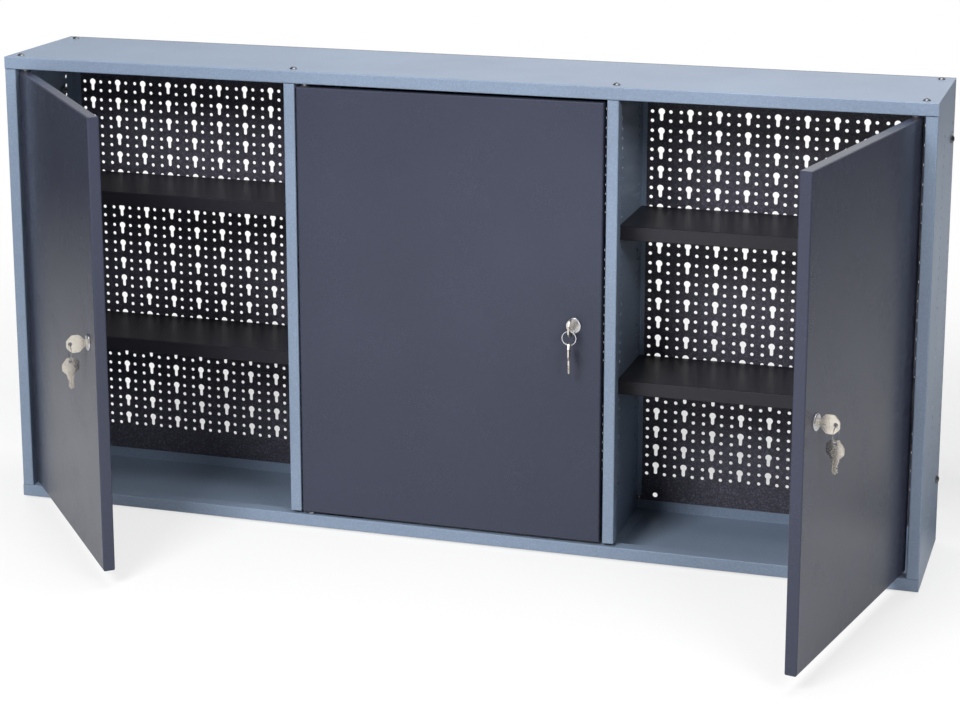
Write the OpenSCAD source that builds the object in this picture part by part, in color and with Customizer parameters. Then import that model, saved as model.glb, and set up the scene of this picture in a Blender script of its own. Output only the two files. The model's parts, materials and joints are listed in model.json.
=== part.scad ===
/* [Cabinet] */
// Width of the cabinet over both sides
body_w = 1200; // [1180:5:1240]
// Depth of the cabinet from the door faces to the wall
body_d = 190; // [180:5:260]
// Height of the cabinet over the top and bottom panels
body_h = 600; // [500:25:800]
// Thickness of the folded sheet steel
sheet = 1; // [0.8:0.1:1.2]
// Outer radius of the folded edges
bend_r = 1.6; // [1.4:0.1:2]
// Gap left at the seams between folded panels
seam = 0.3; // [0.2:0.1:0.6]
// Height of the front lips of the top and bottom panels
lip_h = 16; // [14:1:24]
// Depth of the return behind each front lip, which carries the hinge pins
lip_return = 18; // [17:1:24]
// Width of the front and back flanges of the sides
side_flange = 15; // [12:1:16]
// Width of the screwed flanges at the top and bottom of the sides
screw_flange = 30; // [26:1:40]

/* [Dividers] */
// Distance from the middle of the cabinet to the left edge of the left divider
left_divider = 212; // [206:1:216]
// Distance from the middle of the cabinet to the left edge of the right divider
right_divider = 206; // [200:1:209]
// Width of the front flange of a divider
divider_flange = 14.5; // [12:0.5:18]
// Width of the back flange of a divider, which covers a joint of the wall
divider_back = 7; // [6:0.5:8]
// Depth of the return on the front flanges, which the lock cam catches behind
catch_return = 15.5; // [12:0.5:15.5]
// Gap under the front flange of a divider
foot_gap = 4.5; // [2:0.5:8]

/* [Perforated wall] */
// Distance between the centres of the three perforated fields
field_spacing = 400; // [398:1:402]
// Distance between keyhole columns
key_pitch_x = 37.5; // [36:0.5:40]
// Distance between keyhole rows
key_pitch_z = 25; // [24:0.5:30]
// Keyhole columns in a field
key_cols = 10; // [4:1:10]
// Diameter of a keyhole's head
key_head = 8.6; // [8:0.2:9.4]
// Width of a keyhole's slot
key_slot = 4.6; // [4:0.2:5]
// Distance from the head's centre to the foot of the slot
key_drop = 12.2; // [11:0.2:13]
// Diameter of the small round holes
dot_d = 4.6; // [3.6:0.2:5]
// Distance of the small holes from the keyhole, sideways and downwards
dot_offset = 12; // [11.5:0.25:12.5]
// Distance from the top edge to the highest keyhole
field_top = 61.25; // [50:1.25:80]
// Least distance from the bottom edge to a keyhole
field_bottom = 60; // [50:1:80]
// Diameter of the holes for the wall screws
wall_hole = 6.5; // [5:0.5:8]
// Distance of the wall screw holes from the top and bottom edges
wall_hole_in = 22.5; // [20:0.5:30]

/* [Shelves] */
// Depth of a shelf
shelf_d = 124; // [110:1:130]
// Height of a shelf's front lip
shelf_lip = 18; // [14:1:30]
// Height of a shelf's back lip
shelf_back_lip = 12; // [8:1:14]
// Depth of the return under the front lip
shelf_return = 8; // [5:1:12]
// Gap between a shelf and the panels beside it
shelf_gap = 0.8; // [0.5:0.1:2]
// Distance between the holes for the shelf clips
peg_pitch = 12.5; // [12:0.5:16]
// Diameter of those holes
peg_hole = 5; // [4:0.5:6]
// Height of the lowest clip hole above the bottom edge
peg_first = 47.5; // [40:0.5:60]
// Hole that carries the lower shelf of the side bays, counted from the bottom
lower_level = 13; // [6:1:18]
// Hole that carries the upper shelf of the side bays, counted from the bottom
upper_level = 29; // [22:1:34]

/* [Doors] */
// Thickness of a door
door_t = 14.5; // [13:0.5:16]
// Radius of a door's outer edges
door_r = 2; // [1.6:0.2:3]
// Gap above and below a door
door_gap = 4; // [3:0.5:6]
// Gap between a door and the frame at its hinges
hinge_gap = 2; // [1.8:0.2:4]
// Gap between a door and the frame at its lock
free_gap = 4; // [3:0.5:6]
// Width of the return round the back of a door
door_return = 12; // [12:1:16]
// Distance of the hinge pins from the door's hinge edge
hinge_inset = 10; // [9.5:0.5:10.5]
// Opening angle of the left door as it stands
left_open = 50; // [0:1:110]
// Opening angle of the middle door as it stands
middle_open = 0; // [0:1:110]
// Opening angle of the right door as it stands
right_open = 78; // [0:1:110]

/* [Hinges] */
// Diameter of a hinge pin
pin_d = 6; // [5:0.5:6]
// Outer diameter of a hinge bush
bush_d = 10; // [9:0.5:10.5]
// Depth of a hinge bush in the door
bush_l = 12; // [8:1:16]
// Running clearance of a turning fit, on the radius
fit = 0.05; // [0.03:0.01:0.08]

/* [Locks] */
// Distance of a lock from the free edge of its door
lock_in = 35; // [30:1:45]
// Height of the locks above the middle of the cabinet
lock_z = 0; // [-60:1:60]
// Diameter of the rim of a lock
rim_d = 20; // [19:0.5:24]
// Diameter of the lock's threaded body
housing_d = 16; // [15:0.5:17]
// Length of the lock's body behind the door face
housing_l = 16; // [15:0.5:16]
// Diameter of the turning lock core
core_d = 11; // [10:0.5:12]
// Length of the cam past the lock's axis
cam_l = 47; // [45:1:50]
// Width of the cam
cam_w = 12; // [10:1:14]
// Thickness of the cam
cam_t = 2; // [1.5:0.5:2.5]

/* [Keys] */
// Width of a key's bow
bow_w = 22; // [20:1:24]
// Thickness of a key
key_t = 2; // [1.6:0.2:2]
// Height of a key's blade
blade_h = 7.2; // [6.5:0.1:7.5]
// Length of a key's blade
blade_l = 14.5; // [12:0.5:14.5]
// Diameter of the hole in a key's bow
bow_hole = 5.2; // [5:0.1:5.6]
// Diameter of the key ring at the middle of its wire
ring_d = 17.6; // [16:0.2:22]
// Diameter of the key ring's wire
wire_d = 1.4; // [1.2:0.1:1.5]
// Angle at which the spare key hangs from the ring
spare_turn = 10; // [0:1:20]

/* [Hidden] */

$fn = 48;
eps = 1;
frame_blue = "#8c9db3";
anthracite = "#3f434b";
wall_grey = "#33363c";
chrome = "#d8d9db";
steel = "#b4b7bb";
nickel = "#d9d3c8";
rubber = "#1d1d1f";

// The cabinet's frame: x to the right, y to the wall, z up, with the origin on the wall face at its middle
left = -body_w / 2;
right = body_w / 2;
front = -body_d;
top = body_h / 2;
case_d = body_d - sheet;
opening_h = body_h - 2 * lip_h;
divider_x = [-left_divider, right_divider];
joint_x = [for (x = divider_x) x + divider_back / 2];
panel_x = [left, joint_x[0], joint_x[1], right];
bay_x = [
    [left + sheet, divider_x[0]],
    [divider_x[0] + sheet, divider_x[1]],
    [divider_x[1] + sheet, right - sheet]
];
door_x = [
    [left + side_flange, divider_x[0]],
    [divider_x[0] + divider_flange, divider_x[1]],
    [divider_x[1] + divider_flange, right - side_flange]
];

// Screws and bolts, with the clearance of their holes and threads on the diameter
hole_play = 0.2;
thread_play = 0.1;
corner_in = 16;
rear_in = 16;
divider_screw_in = 18;
screw_shank = 4;
screw_head = 8.4;
screw_head_h = 2.6;
screw_l = 8;
screw_points = [
    [left + corner_in, front + corner_in],
    [left + corner_in, -rear_in],
    [divider_x[0] + divider_flange / 2, front + divider_screw_in],
    [divider_x[1] + divider_flange / 2, front + divider_screw_in],
    [right - corner_in, front + corner_in],
    [right - corner_in, -rear_in]
];
bolt_in = 34;
bolt_up = 70;
bolt_low = 93;
bolt_d = 6;
bolt_head = 11;
bolt_head_h = 4.5;
bolt_l = 9;
bolt_nut = 10;
bolt_nut_h = 5;
bolt_z = [top - bolt_up, -top + bolt_low];

// Perforated wall
key_rows = floor((body_h - field_top - field_bottom) / key_pitch_z) + 1;
field_edge = 3;
field_x = [for (i = [-1:1]) [for (j = [0:key_cols - 1])
    i * field_spacing + (j - (key_cols - 1) / 2) * key_pitch_x]];

// Shelves
shelf_back = -2 * sheet - 2;
peg_front_in = 18;
peg_back_in = 16;
peg_y = [shelf_back - shelf_d + peg_front_in, shelf_back - peg_back_in];
peg_count = floor((opening_h - 2 * (peg_first - lip_h)) / peg_pitch) + 1;
ledge_up = 4;
ledge_w = 12;
ledge_d = 10;
ledge_t = 2;
washer_d = 7.6;
washer_t = 1.2;
peg_out = 0.5;
middle_drop = 1;

// Doors
door_h = opening_h - 2 * door_gap;
door_w = [for (x = door_x) x[1] - x[0] - hinge_gap - free_gap];
hinge_y = front + door_t / 2;
hinge_x = [
    door_x[0][0] + hinge_gap + hinge_inset,
    door_x[1][0] + hinge_gap + hinge_inset,
    door_x[2][1] - hinge_gap - hinge_inset
];
opened = [left_open, middle_open, right_open];
hinge_right = [0, 0, 1];
hat_w = 40;
hat_crown = 20;
hat_h = door_t - 3.5;
hat_end = 40;

// Hinges
pin_head = 10;
pin_head_h = 2;
collar_d = 9;
collar_play = 0.1;
bush_rim = 13;
bush_rim_t = 1;
pin_reach = bush_l - 2;
tip_chamfer = 1;

// Door stops, folded up behind each door near its hinges
stop_w = 16;
stop_h = 16;
stop_in = 62;
buffer_d = 9;
buffer_gap = 0.3;
buffer_down = 1;

// Locks
rim_t = 2;
core_head = core_d + 2;
core_head_t = 1.2;
nut_af = 20;
nut_t = 4;
core_out = 0.4;
cam_at = housing_l + 0.5;
cam_boss = cam_w + 4;
slot_drop = 0.72 * cam_l;
tail = 7;
keyway_w = key_t + 0.3;
keyway_h = blade_h + 0.4;
keyway_l = blade_l + 0.5;
screw_hole = 3.5;
cam_screw_head = 8;
cam_screw_head_h = 2.2;
cam_screw_l = 4;
cam_screw_play = 0.5;
slot_play = 1.5;

// Keys: the bow's hole is the origin of a key, and its blade points along x
hole_in = 4.5;
shoulder_h = 9.5;
shoulder_l = 3;
bow_centre = bow_w / 2 - hole_in;
blade_at = bow_w - hole_in + shoulder_l;
key_hole_y = -rim_t - blade_at;
ring_rest = 0.3;
ring_top = -(bow_hole - wire_d) / 2 + ring_rest;
ring_bottom = ring_top - ring_d;
spare_rise = 1.5;
spare_hole = ring_bottom - spare_rise;

// A rectangle with round corners, from the origin
module rounded_rect(w, h, r) {
    translate([r, 0]) square([w - 2 * r, h]);
    translate([0, r]) square([w, h - 2 * r]);
    for (x = [r, w - r]) for (y = [r, h - r]) translate([x, y]) circle(r = r, $fn = 24);
}

// A closed tube of folded sheet, from which the open profiles are cut
module folded_tube(w, h) {
    difference() {
        rounded_rect(w, h, bend_r);
        translate([sheet, sheet]) rounded_rect(w - 2 * sheet, h - 2 * sheet, bend_r - sheet);
    }
}

// A tray's section: a plate with a front lip and its return, and a plain back lip
module tray_section(depth, lip, return_d, back_lip) {
    difference() {
        folded_tube(depth, lip);
        translate([return_d, -eps]) square([depth, lip - back_lip + eps]);
    }
}

// An upright's section: a web with a front flange and its return, and a plain back flange
module upright_section(flange, back_flange, return_d) {
    difference() {
        folded_tube(flange, case_d);
        translate([back_flange, return_d]) square([flange, case_d]);
    }
}

// Turns a section drawn in depth and height to run across the cabinet
module along_x(from, to) {
    translate([from, 0, 0]) rotate([90, 0, 90]) linear_extrude(to - from) children();
}

// Turns what is drawn along z to point to the wall
module along_y() {
    rotate([-90, 0, 0]) children();
}

module peg_holes(x) {
    for (y = peg_y) for (k = [0:peg_count - 1])
        translate([x - eps, y, -top + peg_first + k * peg_pitch])
            rotate([0, 90, 0]) cylinder(d = peg_hole, h = sheet + 2 * eps, $fn = 24);
}

// The top panel; the bottom panel is its mirror image
module casing_panel() {
    difference() {
        translate([0, front, top - lip_h])
            along_x(left, right) tray_section(case_d, lip_h, lip_return, lip_h - bend_r);
        for (p = screw_points)
            translate([p[0], p[1], top - sheet - eps])
                cylinder(d = screw_shank + hole_play, h = sheet + 2 * eps);
        for (x = hinge_x)
            translate([x, hinge_y, top - lip_h - eps])
                cylinder(d = pin_d + 2 * fit, h = sheet + 2 * eps);
        for (x = [left - eps, right - sheet - seam])
            translate([x, front + bend_r, top - lip_h - eps])
                cube([sheet + seam + eps, lip_return, bend_r + eps]);
    }
}

// A stop folded up from the bottom panel's return, behind a door
module door_stop(i) {
    translate([stop_x(i) - stop_w / 2, front + lip_return - sheet, -top + lip_h - sheet])
        cube([stop_w, sheet, stop_h]);
}

function stop_x(i) = hinge_x[i] + (hinge_right[i] ? -stop_in : stop_in);

module top_panel() {
    color(frame_blue) casing_panel();
}

module bottom_panel() {
    color(frame_blue) union() {
        mirror([0, 0, 1]) casing_panel();
        for (i = [0:2]) door_stop(i);
    }
}

// The left side; the right side is its mirror image
module side_panel() {
    web_front = front + bend_r;
    web_back = -sheet - bend_r;
    difference() {
        union() {
            translate([left, front, -opening_h / 2 + seam])
                linear_extrude(opening_h - 2 * seam)
                    upright_section(side_flange, side_flange - bend_r, catch_return);
            translate([left, web_front, -top + sheet])
                cube([sheet, web_back - web_front, body_h - 2 * sheet]);
            for (z = [-top + sheet, top - 2 * sheet])
                translate([left, web_front, z]) cube([screw_flange, web_back - web_front, sheet]);
        }
        peg_holes(left);
        for (p = [screw_points[0], screw_points[1]])
            translate([p[0], p[1], -top]) cylinder(d = screw_shank + hole_play, h = body_h);
        for (z = bolt_z)
            translate([left - eps, -bolt_in, z])
                rotate([0, 90, 0]) cylinder(d = bolt_d + hole_play, h = sheet + 2 * eps);
    }
}

module left_side() {
    color(frame_blue) side_panel();
}

module right_side() {
    color(frame_blue) mirror([1, 0, 0]) side_panel();
}

module divider_panel(i) {
    web_front = front + lip_return + seam;
    web_back = -sheet - bend_r;
    foot_front = front + bend_r;
    difference() {
        union() {
            translate([divider_x[i], front, -opening_h / 2 + foot_gap])
                linear_extrude(opening_h - foot_gap - seam)
                    upright_section(divider_flange, divider_back, catch_return);
            translate([divider_x[i], web_front, -top + sheet])
                cube([sheet, web_back - web_front, body_h - 2 * sheet]);
            for (z = [-top + sheet, top - 2 * sheet])
                translate([divider_x[i], foot_front, z])
                    cube([divider_flange, web_back - foot_front, sheet]);
        }
        peg_holes(divider_x[i]);
        translate([screw_points[2 + i][0], screw_points[2 + i][1], -top])
            cylinder(d = screw_shank + hole_play, h = body_h);
        translate([divider_x[i] - eps, front + cam_at - slot_play, lock_z - slot_drop])
            cube([sheet + 2 * eps, cam_t + 2 * slot_play, slot_drop + cam_w / 2 + slot_play]);
    }
}

module left_divider_panel() {
    color(frame_blue) divider_panel(0);
}

module right_divider_panel() {
    color(frame_blue) divider_panel(1);
}

// One keyhole of the wall: a round head with a slot below it
module keyhole() {
    circle(d = key_head, $fn = 32);
    translate([-key_slot / 2, key_slot / 2 - key_drop]) square([key_slot, key_drop - key_slot / 2]);
    translate([0, key_slot / 2 - key_drop]) circle(d = key_slot, $fn = 24);
}

// A third of the wall: columns of keyholes with small holes beside each head and each slot
module back_panel(i) {
    x0 = panel_x[i] + (i > 0 ? seam / 2 : 0);
    x1 = panel_x[i + 1] - (i < 2 ? seam / 2 : 0);
    inside = dot_offset + dot_d / 2 + field_edge;
    color(wall_grey) rotate([90, 0, 0]) linear_extrude(sheet) difference() {
        translate([x0, -top]) square([x1 - x0, body_h]);
        for (x = field_x[i]) if (x - inside > x0 && x + inside < x1)
            for (j = [0:key_rows - 1]) translate([x, top - field_top - j * key_pitch_z]) {
                keyhole();
                for (side = [-1, 1]) for (drop = [0, 1])
                    translate([side * dot_offset, -drop * dot_offset]) circle(d = dot_d, $fn = 24);
            }
        for (x = [field_x[i][0], field_x[i][key_cols - 1]]) for (z = [-1, 1])
            translate([x, z * (top - wall_hole_in)]) circle(d = wall_hole, $fn = 32);
    }
}

module left_back_panel() {
    back_panel(0);
}

module middle_back_panel() {
    back_panel(1);
}

module right_back_panel() {
    back_panel(2);
}

// A domed screw that points down, with the underside of its head at the origin
module domed_screw(head, head_h, shank, length) {
    dome = (head * head / 4 + head_h * head_h) / (2 * head_h);
    intersection() {
        translate([0, 0, head_h - dome]) sphere(r = dome);
        cylinder(d = head, h = head_h);
    }
    translate([0, 0, -length]) cylinder(d = shank, h = length + eps / 2);
}

module top_screws() {
    color(chrome) for (p = screw_points)
        translate([p[0], p[1], top]) domed_screw(screw_head, screw_head_h, screw_shank, screw_l);
}

module bottom_screws() {
    color(chrome) mirror([0, 0, 1]) for (p = screw_points)
        translate([p[0], p[1], top]) domed_screw(screw_head, screw_head_h, screw_shank, screw_l);
}

module side_bolts() {
    color(chrome) for (s = [0, 1]) mirror([s, 0, 0]) for (z = bolt_z)
        translate([right, -bolt_in, z])
            rotate([0, 90, 0]) domed_screw(bolt_head, bolt_head_h, bolt_d, bolt_l);
}

module side_nuts() {
    color(steel) for (s = [0, 1]) mirror([s, 0, 0]) for (z = bolt_z)
        translate([right - sheet - bolt_nut_h, -bolt_in, z]) rotate([0, 90, 0]) difference() {
            cylinder(d = bolt_nut / cos(30), h = bolt_nut_h, $fn = 6);
            translate([0, 0, -eps]) cylinder(d = bolt_d + thread_play, h = bolt_nut_h + 2 * eps);
        }
}

// The middle bay's shelves sit a hole lower, so that clips never share a hole from both sides
function peg_z(bay, level) = -top + peg_first + (level - (bay == 1 ? middle_drop : 0)) * peg_pitch;
function shelf_z(bay, level) = peg_z(bay, level) + ledge_up + sheet;

module shelf(bay, level) {
    color(anthracite) translate([0, shelf_back - shelf_d, shelf_z(bay, level) - shelf_lip])
        along_x(bay_x[bay][0] + shelf_gap, bay_x[bay][1] - shelf_gap)
            tray_section(shelf_d, shelf_lip, shelf_return, shelf_back_lip);
}

module left_upper_shelf() {
    shelf(0, upper_level);
}

module left_lower_shelf() {
    shelf(0, lower_level);
}

module middle_upper_shelf() {
    shelf(1, upper_level);
}

module middle_lower_shelf() {
    shelf(1, lower_level);
}

module right_upper_shelf() {
    shelf(2, upper_level);
}

module right_lower_shelf() {
    shelf(2, lower_level);
}

// A clip whose peg points to -x through the panel and whose ledge carries the shelf
module shelf_clip() {
    translate([-sheet - peg_out, 0, 0])
        rotate([0, 90, 0]) cylinder(d = peg_hole - hole_play, h = peg_out + sheet + washer_t, $fn = 24);
    rotate([0, 90, 0]) cylinder(d = washer_d, h = washer_t);
    translate([0, -ledge_d / 2, ledge_up - ledge_t]) cube([ledge_w, ledge_d, ledge_t]);
}

module shelf_clips() {
    color(steel) for (bay = [0:2]) for (level = [lower_level, upper_level]) for (y = peg_y) {
        translate([bay_x[bay][0], y, peg_z(bay, level)]) shelf_clip();
        translate([bay_x[bay][1], y, peg_z(bay, level)]) mirror([1, 0, 0]) shelf_clip();
    }
}

module door_buffers() {
    thick = lip_return - sheet - door_t - buffer_gap;
    stop_top = -top + lip_h - sheet + stop_h;
    color(rubber) for (i = [0:2])
        translate([stop_x(i), front + door_t + buffer_gap, stop_top - buffer_down - buffer_d / 2])
            along_y() cylinder(d = buffer_d, h = thick);
}

// Places what is drawn in a door's own frame: x from the hinge pins to the free edge, y to the back, z up
module on_door(i) {
    translate([hinge_x[i], hinge_y, 0]) mirror([hinge_right[i], 0, 0]) rotate([0, 0, -opened[i]])
        translate([0, -door_t / 2, 0]) children();
}

// Places what is drawn in a lock's own frame: the same, with the origin on the door face at the lock
module on_lock(i) {
    on_door(i) translate([door_w[i] - hinge_inset - lock_in, 0, lock_z]) children();
}

// A folded pan, open at the back, with a return all round
module door_pan(i) {
    w = door_w[i];
    color(anthracite) on_door(i) difference() {
        translate([-hinge_inset, 0, -door_h / 2]) intersection() {
            linear_extrude(door_h) rounded_rect(w, door_t, door_r);
            rotate([90, 0, 90]) linear_extrude(w) rounded_rect(door_t, door_h, door_r);
        }
        translate([sheet - hinge_inset, sheet, sheet - door_h / 2])
            cube([w - 2 * sheet, door_t - 2 * sheet, door_h - 2 * sheet]);
        translate([door_return - hinge_inset, door_t - sheet - eps, door_return - door_h / 2])
            cube([w - 2 * door_return, sheet + 2 * eps, door_h - 2 * door_return]);
        for (z = [-door_h / 2 - eps, door_h / 2 - sheet - eps])
            translate([0, door_t / 2, z]) cylinder(d = bush_d + 2 * fit, h = sheet + 2 * eps);
        translate([w - hinge_inset - lock_in, -eps, lock_z])
            along_y() cylinder(d = housing_d + hole_play, h = sheet + 2 * eps);
    }
}

// A hat-shaped rib inside the door face
module door_stiffener(i) {
    color(anthracite) on_door(i)
        translate([door_w[i] / 2 - hinge_inset - hat_w / 2, sheet, hat_end - door_h / 2])
            linear_extrude(door_h - 2 * hat_end) difference() {
                union() {
                    square([hat_w, sheet]);
                    translate([(hat_w - hat_crown) / 2, 0]) square([hat_crown, hat_h]);
                }
                translate([(hat_w - hat_crown) / 2 + sheet, -eps])
                    square([hat_crown - 2 * sheet, hat_h - sheet + eps]);
            }
}

// A pin riveted in a return, whose collar carries the door; it points up from the return's far face
module hinge_pin() {
    collar_top = sheet + door_gap - bush_rim_t - collar_play;
    pin_top = sheet + door_gap + pin_reach;
    rotate_extrude() polygon([
        [0, -pin_head_h],
        [pin_head / 2, -pin_head_h],
        [pin_head / 2, 0],
        [pin_d / 2, 0],
        [pin_d / 2, sheet],
        [collar_d / 2, sheet],
        [collar_d / 2, collar_top],
        [pin_d / 2, collar_top],
        [pin_d / 2, pin_top - tip_chamfer],
        [pin_d / 2 - tip_chamfer, pin_top],
        [0, pin_top]
    ]);
}

module hinge_pins(i) {
    color(steel) for (s = [0, 1]) mirror([0, 0, s])
        translate([hinge_x[i], hinge_y, -top + lip_h - sheet]) hinge_pin();
}

// The bushes that turn on the pins, with their rims outside the door
module hinge_bushes(i) {
    color(nickel) on_door(i) for (s = [0, 1]) mirror([0, 0, s]) translate([0, door_t / 2, -door_h / 2])
        difference() {
            union() {
                translate([0, 0, -bush_rim_t]) cylinder(d = bush_rim, h = bush_rim_t);
                translate([0, 0, -eps / 2]) cylinder(d = bush_d, h = bush_l + eps / 2);
            }
            translate([0, 0, -bush_rim_t - eps])
                cylinder(d = pin_d + 2 * fit, h = bush_rim_t + bush_l + 2 * eps);
        }
}

// The lock's threaded body with its rim, bored for the core
module lock_housing(i) {
    bore = core_d / 2 + fit;
    sink = core_head / 2 + fit;
    bevel = 0.8;
    color(chrome) on_lock(i) along_y() rotate_extrude() polygon([
        [bore, core_head_t + fit - rim_t],
        [sink, core_head_t + fit - rim_t],
        [sink, -rim_t],
        [rim_d / 2 - bevel, -rim_t],
        [rim_d / 2, bevel - rim_t],
        [rim_d / 2, 0],
        [housing_d / 2, 0],
        [housing_d / 2, housing_l],
        [bore, housing_l]
    ]);
}

module lock_nut(i) {
    color(steel) on_lock(i) translate([0, sheet, 0]) along_y() difference() {
        cylinder(d = nut_af / cos(30), h = nut_t, $fn = 6);
        translate([0, 0, -eps]) cylinder(d = housing_d + thread_play, h = nut_t + 2 * eps);
    }
}

// The turning core: a headed barrel with a keyway, and a square tail that drives the cam
module lock_core(i) {
    color(chrome) on_lock(i) difference() {
        union() {
            translate([0, -rim_t, 0]) along_y() cylinder(d = core_head, h = core_head_t);
            translate([0, -rim_t, 0]) along_y() cylinder(d = core_d, h = rim_t + housing_l + core_out);
            translate([-tail / 2, housing_l, -tail / 2]) cube([tail, cam_at + cam_t - housing_l, tail]);
        }
        translate([-keyway_w / 2, -rim_t - eps, -keyway_h / 2]) cube([keyway_w, keyway_l + eps, keyway_h]);
        translate([0, cam_at + cam_t - cam_screw_l, 0])
            along_y() cylinder(d = screw_hole + thread_play, h = cam_screw_l + eps);
    }
}

// The cam, drawn as it hangs when the door is unlocked
module lock_cam(i) {
    color(steel) on_lock(i) translate([0, cam_at, 0]) rotate([90, 0, 0]) mirror([0, 0, 1])
        linear_extrude(cam_t) difference() {
            union() {
                circle(d = cam_boss);
                translate([-cam_w / 2, cam_w / 2 - cam_l]) square([cam_w, cam_l - cam_w / 2]);
                translate([0, cam_w / 2 - cam_l]) circle(d = cam_w);
            }
            square(tail + hole_play, center = true);
        }
}

module cam_screw(i) {
    color(steel) on_lock(i) translate([0, cam_at + cam_t, 0]) along_y() union() {
        cylinder(d = cam_screw_head, h = cam_screw_head_h);
        translate([0, 0, cam_screw_play - cam_screw_l]) cylinder(d = screw_hole, h = cam_screw_l);
    }
}

// A key's outline: an octagonal bow with a round hole, a shoulder and a notched blade
module key_outline() {
    notch_depth = [1.6, 2.4, 1.2, 2.8];
    notch_pitch = 3;
    notch_first = 4;
    tip = 2;
    difference() {
        union() {
            translate([bow_centre, 0]) intersection() {
                square(bow_w, center = true);
                rotate(45) square(bow_w, center = true);
                circle(d = bow_w * 1.05);
            }
            translate([bow_centre, -shoulder_h / 2]) square([blade_at - bow_centre, shoulder_h]);
            translate([blade_at - 0.5, -blade_h / 2]) square([blade_l + 0.5 - tip, blade_h]);
            polygon([
                [blade_at + blade_l - tip - 0.5, -blade_h / 2],
                [blade_at + blade_l - tip, -blade_h / 2],
                [blade_at + blade_l, -blade_h / 6],
                [blade_at + blade_l, blade_h / 6],
                [blade_at + blade_l - tip, blade_h / 2],
                [blade_at + blade_l - tip - 0.5, blade_h / 2]
            ]);
        }
        circle(d = bow_hole);
        for (k = [0:3]) translate([blade_at + notch_first + k * notch_pitch, -blade_h / 2]) polygon([
            [-1.3, -eps],
            [1.3, -eps],
            [0.5, notch_depth[k]],
            [-0.5, notch_depth[k]]
        ]);
    }
}

// A key lying in the plane of depth and height, centred on that plane
module key_body() {
    translate([-key_t / 2, 0, 0]) rotate([90, 0, 90]) linear_extrude(key_t) key_outline();
}

module key(i) {
    color(nickel) on_lock(i) translate([0, key_hole_y, 0]) key_body();
}

module key_ring(i) {
    color(chrome) on_lock(i) translate([0, key_hole_y, (ring_top + ring_bottom) / 2])
        rotate([90, 0, 0]) rotate_extrude() translate([ring_d / 2, 0]) circle(d = wire_d, $fn = 24);
}

module spare_key(i) {
    color(nickel) on_lock(i) translate([0, key_hole_y, spare_hole]) rotate([0, 0, spare_turn])
        rotate([-90, 0, 0]) key_body();
}

module left_door_pan() {
    door_pan(0);
}

module left_door_stiffener() {
    door_stiffener(0);
}

module left_hinge_pins() {
    hinge_pins(0);
}

module left_hinge_bushes() {
    hinge_bushes(0);
}

module left_lock_housing() {
    lock_housing(0);
}

module left_lock_nut() {
    lock_nut(0);
}

module left_lock_core() {
    lock_core(0);
}

module left_lock_cam() {
    lock_cam(0);
}

module left_cam_screw() {
    cam_screw(0);
}

module left_key() {
    key(0);
}

module left_key_ring() {
    key_ring(0);
}

module left_spare_key() {
    spare_key(0);
}

module middle_door_pan() {
    door_pan(1);
}

module middle_door_stiffener() {
    door_stiffener(1);
}

module middle_hinge_pins() {
    hinge_pins(1);
}

module middle_hinge_bushes() {
    hinge_bushes(1);
}

module middle_lock_housing() {
    lock_housing(1);
}

module middle_lock_nut() {
    lock_nut(1);
}

module middle_lock_core() {
    lock_core(1);
}

module middle_lock_cam() {
    lock_cam(1);
}

module middle_cam_screw() {
    cam_screw(1);
}

module middle_key() {
    key(1);
}

module middle_key_ring() {
    key_ring(1);
}

module middle_spare_key() {
    spare_key(1);
}

module right_door_pan() {
    door_pan(2);
}

module right_door_stiffener() {
    door_stiffener(2);
}

module right_hinge_pins() {
    hinge_pins(2);
}

module right_hinge_bushes() {
    hinge_bushes(2);
}

module right_lock_housing() {
    lock_housing(2);
}

module right_lock_nut() {
    lock_nut(2);
}

module right_lock_core() {
    lock_core(2);
}

module right_lock_cam() {
    lock_cam(2);
}

module right_cam_screw() {
    cam_screw(2);
}

module right_key() {
    key(2);
}

module right_key_ring() {
    key_ring(2);
}

module right_spare_key() {
    spare_key(2);
}

top_panel();
bottom_panel();
left_side();
right_side();
left_divider_panel();
right_divider_panel();
left_back_panel();
middle_back_panel();
right_back_panel();
top_screws();
bottom_screws();
side_bolts();
side_nuts();
left_upper_shelf();
left_lower_shelf();
middle_upper_shelf();
middle_lower_shelf();
right_upper_shelf();
right_lower_shelf();
shelf_clips();
door_buffers();
left_door_pan();
left_door_stiffener();
left_hinge_pins();
left_hinge_bushes();
left_lock_housing();
left_lock_nut();
left_lock_core();
left_lock_cam();
left_cam_screw();
left_key();
left_key_ring();
left_spare_key();
middle_door_pan();
middle_door_stiffener();
middle_hinge_pins();
middle_hinge_bushes();
middle_lock_housing();
middle_lock_nut();
middle_lock_core();
middle_lock_cam();
middle_cam_screw();
middle_key();
middle_key_ring();
middle_spare_key();
right_door_pan();
right_door_stiffener();
right_hinge_pins();
right_hinge_bushes();
right_lock_housing();
right_lock_nut();
right_lock_core();
right_lock_cam();
right_cam_screw();
right_key();
right_key_ring();
right_spare_key();
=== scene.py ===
"""Looks of a three-door steel tool cabinet with a perforated back wall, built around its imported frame."""

import json
import math

import bmesh
import bpy
from mathutils import Matrix, Vector

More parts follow.
